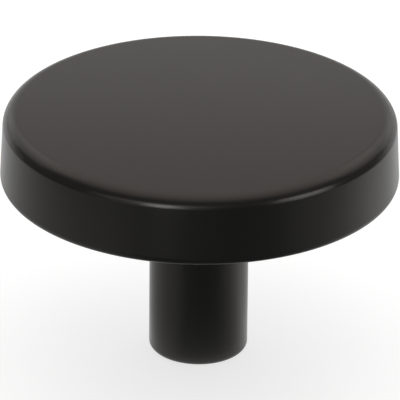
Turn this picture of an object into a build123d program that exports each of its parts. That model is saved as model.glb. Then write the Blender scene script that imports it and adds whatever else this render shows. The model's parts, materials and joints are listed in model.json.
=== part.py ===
from build123d import *
import os
from math import cos, radians, sin, tan

# A disc cabinet knob, cast in one piece. Its foot stands on the door's face at Z = 0, with the
# origin at the middle of the foot, and the stem carries the head outwards along +Z.

# Driving dimensions, in millimetres and degrees
projection = 24.8           # from the door's face to the top of the head
head_diameter = 38.0        # at the widest line, low on the head's side
head_thickness = 7.0
side_draft = 3.0            # the side leans in towards the top, so that the casting leaves its die
top_edge_radius = 1.4
lower_edge_radius = 0.75
stem_diameter = 9.5
root_radius = 1.0           # inside corner between the stem and the head
foot_edge_radius = 0.65
tap_drill_diameter = 3.3    # drilled for a thread of 4 mm
tapped_depth = 13.0         # from the foot's face to the drill's shoulder
drill_point_angle = 118.0   # across the cone at the end of the hole
mouth_chamfer = 0.55        # breaks the edge of the hole at 45 degrees

# Heights and radii that follow
underside = projection - head_thickness
stem_radius = stem_diameter / 2
drill_radius = tap_drill_diameter / 2
draft = radians(side_draft)

# The lower edge is rounded where the draft makes the head widest, so its corner stands a little
# outside the finished radius.
lower_corner_offset = lower_edge_radius * ((1 + sin(draft)) / cos(draft) - 1)
lower_corner_radius = head_diameter / 2 + lower_corner_offset
top_corner_radius = lower_corner_radius - head_thickness * tan(draft)


def half_section():
    # One half of the knob's section, with X as the radius and Y as the height
    foot_corner = (stem_radius, 0)
    root_corner = (stem_radius, underside)
    lower_corner = (lower_corner_radius, underside)
    top_corner = (top_corner_radius, projection)
    outline = Polyline(
        (0, 0),
        foot_corner,
        root_corner,
        lower_corner,
        top_corner,
        (0, projection),
        close=True,
    )
    section = make_face(outline)
    edge_rounds = (
        (foot_corner, foot_edge_radius),
        (root_corner, root_radius),
        (lower_corner, lower_edge_radius),
        (top_corner, top_edge_radius),
    )
    for corner, radius in edge_rounds:
        section = fillet(section.vertices().sort_by_distance(corner)[0], radius)
    return section


def hole_section():
    # One half of the tapped hole: chamfered mouth, straight wall and the drill's cone
    mouth_radius = drill_radius + mouth_chamfer
    cone_height = drill_radius / tan(radians(drill_point_angle / 2))
    outline = Polyline(
        (0, 0),
        (mouth_radius, 0),
        (drill_radius, mouth_chamfer),
        (drill_radius, tapped_depth),
        (0, tapped_depth + cone_height),
        close=True,
    )
    return make_face(outline)


casting = revolve(Plane.XZ * half_section(), axis=Axis.Z)
tapped_hole = revolve(Plane.XZ * hole_section(), axis=Axis.Z)
knob = casting - tapped_hole
knob.label = "knob"

os.makedirs("parts", exist_ok=True)
export_step(knob, "parts/knob.step")
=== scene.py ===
import json
import math

import bmesh
import bpy
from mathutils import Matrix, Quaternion, Vector


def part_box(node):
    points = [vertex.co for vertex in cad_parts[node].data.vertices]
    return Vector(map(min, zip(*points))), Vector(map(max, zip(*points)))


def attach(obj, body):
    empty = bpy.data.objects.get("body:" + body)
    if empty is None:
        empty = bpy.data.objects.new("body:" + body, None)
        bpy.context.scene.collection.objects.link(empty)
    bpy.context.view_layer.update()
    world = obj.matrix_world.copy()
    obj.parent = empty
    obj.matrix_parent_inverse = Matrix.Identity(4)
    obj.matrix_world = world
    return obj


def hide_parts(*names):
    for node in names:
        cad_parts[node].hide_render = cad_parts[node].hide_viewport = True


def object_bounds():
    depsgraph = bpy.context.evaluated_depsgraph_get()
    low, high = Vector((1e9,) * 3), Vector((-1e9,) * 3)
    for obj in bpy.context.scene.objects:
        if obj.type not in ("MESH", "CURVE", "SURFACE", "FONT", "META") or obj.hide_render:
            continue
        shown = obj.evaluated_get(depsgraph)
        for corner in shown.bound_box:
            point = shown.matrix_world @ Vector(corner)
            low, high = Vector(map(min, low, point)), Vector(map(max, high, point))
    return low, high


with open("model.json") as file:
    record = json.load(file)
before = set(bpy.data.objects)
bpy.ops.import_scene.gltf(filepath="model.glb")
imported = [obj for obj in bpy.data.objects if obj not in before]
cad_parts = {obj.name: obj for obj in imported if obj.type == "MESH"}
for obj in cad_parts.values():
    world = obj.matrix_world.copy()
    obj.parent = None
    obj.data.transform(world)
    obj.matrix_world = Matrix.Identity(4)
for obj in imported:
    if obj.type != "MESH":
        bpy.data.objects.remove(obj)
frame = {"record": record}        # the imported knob, in metres
cadLow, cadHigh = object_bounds()
mm = 0.001


def newObject(name, data):
    thing = bpy.data.objects.new(name, data)
    bpy.context.scene.collection.objects.link(thing)
    return thing


# the knob's casting, turned from a half section

casting = {
    "stemRadius": 4.75,        # mm
    "headThickness": 7.0,
    "sideDraft": 3.0,          # degrees, the side leans in towards the top
    "topEdge": 1.4,            # mm, radius of each rounded corner
    "lowerEdge": 0.75,
    "root": 1.0,
    "footEdge": 0.65,
    "mouthChamfer": 0.55,
    "roundSegments": 14,
    "roundProfile": 0.5,       # a true arc
    "turnSteps": 180,
    "weld": 0.002,             # mm, joins the thread to the rest
    "sharpAngle": 30.0,        # degrees, steeper edges stay sharp
}

screwThread = {
    "majorRadius": 2.0,        # mm
    "pitch": 0.7,
    "rootFlat": 0.0875,        # width of the groove's floor
    "flankAngle": 30.0,        # degrees, each side of the groove
    "depth": 11.0,             # mm of full thread, measured from the foot
    "runOut": 1.4,             # mm, over which the groove fades out
    "drillPoint": 118.0,       # degrees, across the cone
    "leadIn": 1.5,             # turns that start below the foot
    "spareTurns": 2,           # so that the wall passes the foot and the shoulder
    "wallCuts": 1,             # extra points between the groove's corners
}

coatIndex = 0                  # order of the materials on the knob
zincIndex = 1


def mountNamed(name):
    return next(m for m in frame["record"]["mounts"] if m["name"] == name)


def roundedWire(bm, corners):
    points = [bm.verts.new((r * mm, 0, z * mm)) for r, z, _ in corners]
    for start, end in zip(points, points[1:]):
        bm.edges.new((start, end))
    for point, (_, _, radius) in zip(points, corners):
        if radius:
            before, after = (e.other_vert(point).co - point.co for e in point.link_edges)
            setback = radius * mm / math.tan(before.angle(after) / 2)
            bmesh.ops.bevel(bm, geom=[point], offset=setback, offset_type="OFFSET",
                            segments=casting["roundSegments"], profile=casting["roundProfile"],
                            affect="VERTICES", material=-1)


def fullTurn(bm, rise=0.0):
    steps = casting["turnSteps"]
    bmesh.ops.spin(bm, geom=bm.verts[:] + bm.edges[:], cent=(0, 0, 0), axis=(0, 0, 1),
                   dvec=(0, 0, rise / steps), angle=2 * math.pi, steps=steps, use_merge=rise == 0.0)


def turnCasting(bm, drillRadius, shoulder):
    low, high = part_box("knob")
    projection = high.z / mm
    headRadius = min(high.x - low.x, high.y - low.y) / 2 / mm      # inside the CAD facets both ways
    underside = projection - casting["headThickness"]
    lean = math.radians(casting["sideDraft"])
    lowerCorner = headRadius + casting["lowerEdge"] * ((1 + math.sin(lean)) / math.cos(lean) - 1)
    topCorner = lowerCorner - casting["headThickness"] * math.tan(lean)
    mouth = drillRadius + casting["mouthChamfer"]
    roundedWire(bm, [
        (mouth, 0, None),
        (casting["stemRadius"], 0, casting["footEdge"]),
        (casting["stemRadius"], underside, casting["root"]),
        (lowerCorner, underside, casting["lowerEdge"]),
        (topCorner, projection, casting["topEdge"]),
        (0, projection, None),
    ])
    cone = drillRadius / math.tan(math.radians(screwThread["drillPoint"] / 2))
    roundedWire(bm, [(drillRadius, shoulder, None), (0, shoulder + cone, None)])
    fullTurn(bm)


def cutThread(bm, drillRadius, shoulder):
    pitch = screwThread["pitch"]
    groove = screwThread["majorRadius"] - drillRadius
    flank = groove * math.tan(math.radians(screwThread["flankAngle"]))
    land = pitch - screwThread["rootFlat"] - 2 * flank
    mouth = drillRadius + casting["mouthChamfer"]
    onePitch = [(0, 0), (land, 0), (land + flank, groove), (pitch - flank, groove)]
    turns = math.ceil(shoulder / pitch) + screwThread["spareTurns"]
    points = []
    for turn in range(turns):
        start = (turn - screwThread["leadIn"]) * pitch
        for rise, out in onePitch:
            points.append(bm.verts.new(((drillRadius + out) * mm, 0, (start + rise) * mm)))
    wire = [bm.edges.new(pair) for pair in zip(points, points[1:])]
    bmesh.ops.subdivide_edges(bm, edges=wire, cuts=screwThread["wallCuts"])
    fullTurn(bm, pitch * mm)
    for v in bm.verts:
        height = v.co.z / mm
        radius = v.co.xy.length / mm
        fade = (screwThread["depth"] + screwThread["runOut"] - height) / screwThread["runOut"]
        radius = drillRadius + (radius - drillRadius) * min(max(fade, 0), 1)
        if height <= 0:
            radius = mouth
        elif height >= shoulder:
            radius = drillRadius
        else:
            radius = max(radius, mouth - height)          # the chamfer takes the first crests away
        flat = v.co.xy.normalized() * radius * mm
        v.co = (flat.x, flat.y, min(max(height, 0), shoulder) * mm)


def buildKnob():
    hole = mountNamed("screw_hole")
    drillRadius = hole["dims"]["r_mm"]
    shoulder = hole["pos_m"][2] / mm + hole["dims"]["length_mm"] / 2
    threadMesh = bmesh.new()
    cutThread(threadMesh, drillRadius, shoulder)
    wallMesh = bpy.data.meshes.new("threadWall")
    threadMesh.to_mesh(wallMesh)
    threadMesh.free()
    bm = bmesh.new()
    turnCasting(bm, drillRadius, shoulder)
    bm.from_mesh(wallMesh)
    bpy.data.meshes.remove(wallMesh)
    bmesh.ops.remove_doubles(bm, verts=bm.verts[:], dist=casting["weld"] * mm)
    bmesh.ops.recalc_face_normals(bm, faces=bm.faces[:])
    mouth = (drillRadius + casting["mouthChamfer"]) * mm
    underside = cadHigh.z - casting["headThickness"] * mm
    for face in bm.faces:
        face.smooth = True
        middle = face.calc_center_median()
        inHole = middle.xy.length < mouth and middle.z < underside
        face.material_index = zincIndex if inHole else coatIndex
    print("open edges", sum(1 for e in bm.edges if len(e.link_faces) != 2))
    mesh = bpy.data.meshes.new("knob_body")
    bm.to_mesh(mesh)
    bm.free()
    mesh.set_sharp_from_angle(angle=math.radians(casting["sharpAngle"]))
    piece = newObject("knob_body", mesh)
    even = piece.modifiers.new("evenNormals", "WEIGHTED_NORMAL")
    even.keep_sharp = True
    return piece


knob = buildKnob()
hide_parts("knob")
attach(knob, "root")
print("knob turned and tapped", len(knob.data.polygons), "faces")

# fine grain for the coat, the bare metal and the paper, and small steps that their materials share

grainLook = {
    # the group's own values, until a material sets others
    "inputs": {"Cloud Scale": 100.0, "Grain Scale": 1000.0, "Grain Detail": 2.0},
    "cloudDetail": 3.0,
    "grainRoughness": 0.6,
    "span": (0.3, 0.7),           # most of a noise's values lie in here
}


def grainGroup():
    group = bpy.data.node_groups.new("fineGrain", "ShaderNodeTree")
    for name, value in grainLook["inputs"].items():
        socket = group.interface.new_socket(name, in_out="INPUT", socket_type="NodeSocketFloat")
        socket.default_value = value
    for name in ("Tone", "Height"):
        group.interface.new_socket(name, in_out="OUTPUT", socket_type="NodeSocketFloat")
    nodes, links = group.nodes, group.links
    inside = nodes.new("NodeGroupInput")
    outside = nodes.new("NodeGroupOutput")
    place = nodes.new("ShaderNodeTexCoord")
    cloud = nodes.new("ShaderNodeTexNoise")
    cloud.inputs["Detail"].default_value = grainLook["cloudDetail"]
    grain = nodes.new("ShaderNodeTexNoise")
    grain.inputs["Roughness"].default_value = grainLook["grainRoughness"]
    for noise, scale in ((cloud, "Cloud Scale"), (grain, "Grain Scale")):
        links.new(place.outputs["Object"], noise.inputs["Vector"])
        links.new(inside.outputs[scale], noise.inputs["Scale"])
    links.new(inside.outputs["Grain Detail"], grain.inputs["Detail"])
    links.new(cloud.outputs["Fac"], outside.inputs["Tone"])
    links.new(grain.outputs["Fac"], outside.inputs["Height"])
    return group


fineGrain = grainGroup()


def newMaterial(name):
    material = bpy.data.materials.new(name)
    material.use_nodes = True
    tree = material.node_tree
    return material, tree, tree.nodes["Principled BSDF"]


def addGrain(tree, look):
    grain = tree.nodes.new("ShaderNodeGroup")
    grain.node_tree = fineGrain
    for name in grainLook["inputs"]:
        grain.inputs[name].default_value = look[name]
    return grain


def mapped(tree, source, fromSpan, toSpan):
    ramp = tree.nodes.new("ShaderNodeMapRange")
    ends = ("From Min", "From Max", "To Min", "To Max")
    for end, value in zip(ends, (*fromSpan, *toSpan)):
        ramp.inputs[end].default_value = value
    tree.links.new(source, ramp.inputs["Value"])
    return ramp.outputs["Result"]


def blended(tree, factor, first, second):
    mix = tree.nodes.new("ShaderNodeMix")
    mix.data_type = "RGBA"
    mix.inputs["A"].default_value = (*first, 1)
    mix.inputs["B"].default_value = (*second, 1)
    tree.links.new(factor, mix.inputs["Factor"])
    return mix.outputs["Result"]


def doMath(tree, operation, first, second):
    step = tree.nodes.new("ShaderNodeMath")
    step.operation = operation
    for socket, value in zip(step.inputs, (first, second)):
        if isinstance(value, float):
            socket.default_value = value
        else:
            tree.links.new(value, socket)
    return step.outputs["Value"]


def roughened(tree, shader, height, depth, before=None):
    bump = tree.nodes.new("ShaderNodeBump")
    bump.inputs["Distance"].default_value = depth
    tree.links.new(height, bump.inputs["Height"])
    if before:
        tree.links.new(before, bump.inputs["Normal"])
    tree.links.new(bump.outputs["Normal"], shader.inputs["Normal"])
    return bump.outputs["Normal"]


coatLook = {
    "Cloud Scale": 140.0,         # patches of about 7 mm
    "Grain Scale": 1500.0,        # orange peel of about 0.7 mm
    "Grain Detail": 2.0,
    "thin": (0.0130, 0.0142, 0.0137),
    "thick": (0.0107, 0.0120, 0.0116),
    "roughness": (0.235, 0.265),
    "peelDepth": 3.0e-6,          # metres
    "gloss": (1.0, 0.96, 0.91),   # reflections are a little warm
}


def blackCoat():
    material, tree, shader = newMaterial("satinBlackCoat")
    grain = addGrain(tree, coatLook)
    colour = blended(tree, grain.outputs["Tone"], coatLook["thin"], coatLook["thick"])
    tree.links.new(colour, shader.inputs["Base Color"])
    satin = mapped(tree, grain.outputs["Tone"], grainLook["span"], coatLook["roughness"])
    tree.links.new(satin, shader.inputs["Roughness"])
    roughened(tree, shader, grain.outputs["Height"], coatLook["peelDepth"])
    shader.inputs["Specular Tint"].default_value = (*coatLook["gloss"], 1)
    return material


zincLook = {
    "Cloud Scale": 400.0,
    "Grain Scale": 9000.0,
    "Grain Detail": 3.0,
    "bright": (0.60, 0.60, 0.59),
    "dull": (0.42, 0.42, 0.42),
    "roughness": (0.26, 0.42),
    "grainDepth": 2.0e-6,         # metres
    "ringScale": 3000.0,          # fine rings left by the drill and the tap
    "ringWaver": 1.5,
    "ringDepth": 3.0e-6,
}


def bareZinc():
    material, tree, shader = newMaterial("tappedZinc")
    grain = addGrain(tree, zincLook)
    colour = blended(tree, grain.outputs["Tone"], zincLook["bright"], zincLook["dull"])
    tree.links.new(colour, shader.inputs["Base Color"])
    worn = mapped(tree, grain.outputs["Tone"], grainLook["span"], zincLook["roughness"])
    tree.links.new(worn, shader.inputs["Roughness"])
    place = tree.nodes.new("ShaderNodeTexCoord")
    rings = tree.nodes.new("ShaderNodeTexWave")
    rings.bands_direction = "Z"
    rings.inputs["Scale"].default_value = zincLook["ringScale"]
    rings.inputs["Distortion"].default_value = zincLook["ringWaver"]
    tree.links.new(place.outputs["Object"], rings.inputs["Vector"])
    ringed = roughened(tree, shader, rings.outputs["Fac"], zincLook["ringDepth"])
    roughened(tree, shader, grain.outputs["Height"], zincLook["grainDepth"], ringed)
    shader.inputs["Metallic"].default_value = 1.0
    return material


knob.data.materials.append(blackCoat())
knob.data.materials.append(bareZinc())
print("coat and bare zinc made")

# floor of pale paper, turned up a little at its far edge, and a dark card that only reflections see,
# which paints shade into the knob's reflections

paperLook = {
    "flat": 1.2,                  # metres, radius of the level part
    "radius": 2.05,
    "rim": 0.05,                  # the outer part slopes up to here
    "segments": 96,
    "Cloud Scale": 3.0,
    "Grain Scale": 2500.0,
    "Grain Detail": 2.0,
    "light": (0.461, 0.486, 0.505),
    "lighter": (0.472, 0.497, 0.516),
    "fibreDepth": 8.0e-6,         # metres
    "glow": 0.72,                 # what the camera and reflections see on top of its own light
}

edgeShare = 0.99                  # of the reach, past which a point is on the outer edge


def newStage(name, bm, material):
    mesh = bpy.data.meshes.new(name)
    bm.to_mesh(mesh)
    bm.free()
    mesh.materials.append(material)
    thing = newObject(name, mesh)
    return thing


def widen(bm, times, rise):
    reach = max(v.co.xy.length for v in bm.verts)
    border = [e for e in bm.edges if all(v.co.xy.length > reach * edgeShare for v in e.verts)]
    added = bmesh.ops.extrude_edge_only(bm, edges=border)["geom"]
    outer = [v for v in added if isinstance(v, bmesh.types.BMVert)]
    bmesh.ops.scale(bm, verts=outer, vec=(times, times, 1))
    bmesh.ops.translate(bm, verts=outer, vec=(0, 0, rise))


def palePaper():
    material, tree, shader = newMaterial("palePaper")
    grain = addGrain(tree, paperLook)
    colour = blended(tree, grain.outputs["Tone"], paperLook["light"], paperLook["lighter"])
    tree.links.new(colour, shader.inputs["Base Color"])
    roughened(tree, shader, grain.outputs["Height"], paperLook["fibreDepth"])
    shader.inputs["Roughness"].default_value = 1.0
    shader.inputs["Specular IOR Level"].default_value = 0.0
    shader.inputs["Emission Color"].default_value = (1, 1, 1, 1)
    path = tree.nodes.new("ShaderNodeLightPath")
    seen = path.outputs["Is Camera Ray"]
    for ray in ("Is Glossy Ray", "Is Transmission Ray"):
        seen = doMath(tree, "MAXIMUM", seen, path.outputs[ray])
    glow = doMath(tree, "MULTIPLY", seen, paperLook["glow"])
    tree.links.new(glow, shader.inputs["Emission Strength"])
    return material


bm = bmesh.new()
bmesh.ops.create_circle(bm, cap_ends=True, radius=paperLook["flat"], segments=paperLook["segments"])
widen(bm, paperLook["radius"] / paperLook["flat"], paperLook["rim"])
newStage("floor", bm, palePaper())

cardLook = {
    "inner": 0.0062,              # metres
    "lift": 0.0001,
    # degrees round from the camera, left is negative, and how clear the card is there; where it is
    # less clear, more painted shade lies in the knob's reflections from that side
    "nearClear": (
        (-180, 1.00), (-160, 1.00), (-140, 0.69), (-95, 0.51), (-45, 0.32),
        (-23, 0.06), (0, 0.045), (14, 0.04), (38, 0.08), (60, 0.28),
        (80, 0.55), (98, 0.82), (118, 0.70), (160, 0.82), (180, 0.90),
    ),
    "farClear": ((-136, 0.75), (-113, 0.0), (113, 0.0), (130, 0.58), (158, 0.56), (168, 0.78)),
    "seamTurn": 90.0,             # degrees, puts the join of that circle at the back
    "nearPart": (0.067, 0.115),   # metres, from near to far
    "footGlow": 0.0046,           # metres, the painted shade clears towards this radius
    "footFall": 2.0,              # and that fades with this power of the distance
    "glossPart": (0.16, 0.22),    # metres, beyond which it has a mirror shine, a painted reflection of the front lamps that only the knob's reflections show
    "shade": (0.0, 0.0, 0.0),
    "shine": (0.78, 0.78, 0.78),
    "roughness": 0.05,
}


def clearRound(tree, around, stops):
    ramp = tree.nodes.new("ShaderNodeValToRGB")
    elements = ramp.color_ramp.elements
    while len(elements) < len(stops):
        elements.new(0.5)
    for element, (turn, clear) in zip(elements, stops):
        element.position = (turn + 180) / 360
        element.color = (clear, clear, clear, 1)
    tree.links.new(around, ramp.inputs["Fac"])
    return ramp.outputs["Color"]


# painted shade in the knob's reflections: a card that the camera, diffuse light and shadows don't
# see
def darkCard():
    material, tree, shader = newMaterial("darkCard")
    nodes, links = tree.nodes, tree.links
    place = nodes.new("ShaderNodeTexCoord")
    turned = nodes.new("ShaderNodeMapping")
    turned.inputs["Rotation"].default_value = (0, 0, math.radians(cardLook["seamTurn"]))
    around = nodes.new("ShaderNodeTexGradient")
    around.gradient_type = "RADIAL"
    links.new(place.outputs["Object"], turned.inputs["Vector"])
    links.new(turned.outputs["Vector"], around.inputs["Vector"])
    off = nodes.new("ShaderNodeVectorMath")
    off.operation = "LENGTH"
    links.new(place.outputs["Object"], off.inputs[0])
    nearClear = clearRound(tree, around.outputs["Fac"], cardLook["nearClear"])
    farClear = clearRound(tree, around.outputs["Fac"], cardLook["farClear"])
    near = mapped(tree, off.outputs["Value"], cardLook["nearPart"], (1.0, 0.0))
    closer = doMath(tree, "DIVIDE", cardLook["footGlow"], off.outputs["Value"])
    atFoot = doMath(tree, "POWER", closer, cardLook["footFall"])
    clear = doMath(tree, "ADD", doMath(tree, "MULTIPLY", nearClear, near), atFoot)
    clear = doMath(tree, "MAXIMUM", clear, farClear)
    links.new(mapped(tree, clear, (0.0, 1.0), (1.0, 0.0)), shader.inputs["Alpha"])
    # painted reflection: past glossPart the card turns to a mirror that shows the front lamps in the
    # knob's reflections
    far = mapped(tree, off.outputs["Value"], cardLook["glossPart"], (0.0, 1.0))
    colour = blended(tree, far, cardLook["shade"], cardLook["shine"])
    links.new(colour, shader.inputs["Base Color"])
    shader.inputs["Metallic"].default_value = 1.0
    shader.inputs["Roughness"].default_value = cardLook["roughness"]
    return material


bm = bmesh.new()
bmesh.ops.create_circle(bm, cap_ends=False, radius=cardLook["inner"], segments=paperLook["segments"])
widen(bm, paperLook["flat"] / cardLook["inner"], 0.0)
widen(bm, paperLook["radius"] / paperLook["flat"], paperLook["rim"])
bmesh.ops.translate(bm, verts=bm.verts[:], vec=(0, 0, cardLook["lift"]))
card = newStage("darkCard", bm, darkCard())
# only glossy rays see the card, so it paints shade into reflections and nowhere else
card.visible_camera = False
card.visible_diffuse = False
card.visible_shadow = False
card.visible_transmission = False
print("floor and card laid")

# lamps, by where they stand round the knob, and a sky that is brightest overhead

studio = {
    "middle": (0.0, 0.0, 0.0124),
    "sky": {
        "brightest": (0.05, 0.17, 0.98),   # a little behind the zenith
        "spread": (0.48, 0.98),            # cosine of the angle off that, far from it and near
        "radiance": (0.13, 1.21),          # far from it and near
        "tint": (1.0, 0.90, 0.85),
    },
    "lamps": {
        # shape, degrees round from the camera and up, metres off, width, height, radiance, roll
        "sideRight": ("RECTANGLE", 130.0, 33.0, 1.50, 1.64, 0.92, 0.33, -18.0),
        "sideLeft": ("RECTANGLE", -135.0, 33.0, 1.50, 1.50, 0.92, 0.40, 18.0),
        "back": ("RECTANGLE", 180.0, 18.3, 0.105, 0.29, 0.050, 0.51, 0.0),
        "frontLeft": ("ELLIPSE", -20.0, 5.0, 1.00, 0.31, 0.17, 5.00, 0.0),
        "frontWide": ("ELLIPSE", -26.0, 9.0, 1.05, 1.50, 0.22, 0.70, 0.0),
        "frontRight": ("ELLIPSE", 60.5, 6.0, 1.00, 0.63, 0.18, 2.65, 0.0),
    },
}


def stand(thing, middle, turn, rise, off, roll):
    turn, rise = math.radians(turn), math.radians(rise)
    level = math.cos(rise)
    toThing = Vector((math.sin(turn) * level, -math.cos(turn) * level, math.sin(rise)))
    thing.location = Vector(middle) + toThing * off
    rolled = Quaternion((0, 0, 1), math.radians(roll))
    thing.rotation_euler = (toThing.to_track_quat("Z", "Y") @ rolled).to_euler()


def hangLamp(name, shape, turn, rise, off, width, height, radiance, roll):
    lampData = bpy.data.lights.new(name, "AREA")
    lampData.shape = shape
    lampData.size = width
    lampData.size_y = height
    lampData.energy = radiance * math.pi * width * height
    lamp = newObject(name, lampData)
    stand(lamp, studio["middle"], turn, rise, off, roll)
    lamp.visible_camera = False


def gradedSky():
    sky = studio["sky"]
    world = bpy.data.worlds.new("studio")
    world.use_nodes = True
    tree = world.node_tree
    look = tree.nodes.new("ShaderNodeTexCoord")
    near = tree.nodes.new("ShaderNodeVectorMath")
    near.operation = "DOT_PRODUCT"
    near.inputs[1].default_value = sky["brightest"]
    tree.links.new(look.outputs["Generated"], near.inputs[0])
    level = mapped(tree, near.outputs["Value"], sky["spread"], sky["radiance"])
    background = tree.nodes["Background"]
    background.inputs["Color"].default_value = (*sky["tint"], 1)
    tree.links.new(level, background.inputs["Strength"])
    return world


for name, place in studio["lamps"].items():
    hangLamp(name, *place)
bpy.context.scene.world = gradedSky()
print("lamps hung", len(studio["lamps"]))

# camera

viewOf = {
    "aim": (0.000057, 0.0, 0.015487),
    "turn": 0.0,                  # degrees
    "elevation": 25.845,
    "distance": 0.501,            # metres
    "roll": 0.529,
    "lens": 472.2,                # mm
    "sensor": 36.0,
}

cameraData = bpy.data.cameras.new("camera")
cameraData.lens = viewOf["lens"]
cameraData.sensor_width = viewOf["sensor"]
camera = newObject("camera", cameraData)
stand(camera, viewOf["aim"], viewOf["turn"], viewOf["elevation"], viewOf["distance"], viewOf["roll"])
bpy.context.scene.camera = camera
bpy.context.scene.view_settings.view_transform = "Standard"
print("camera set", viewOf["lens"], "mm lens")
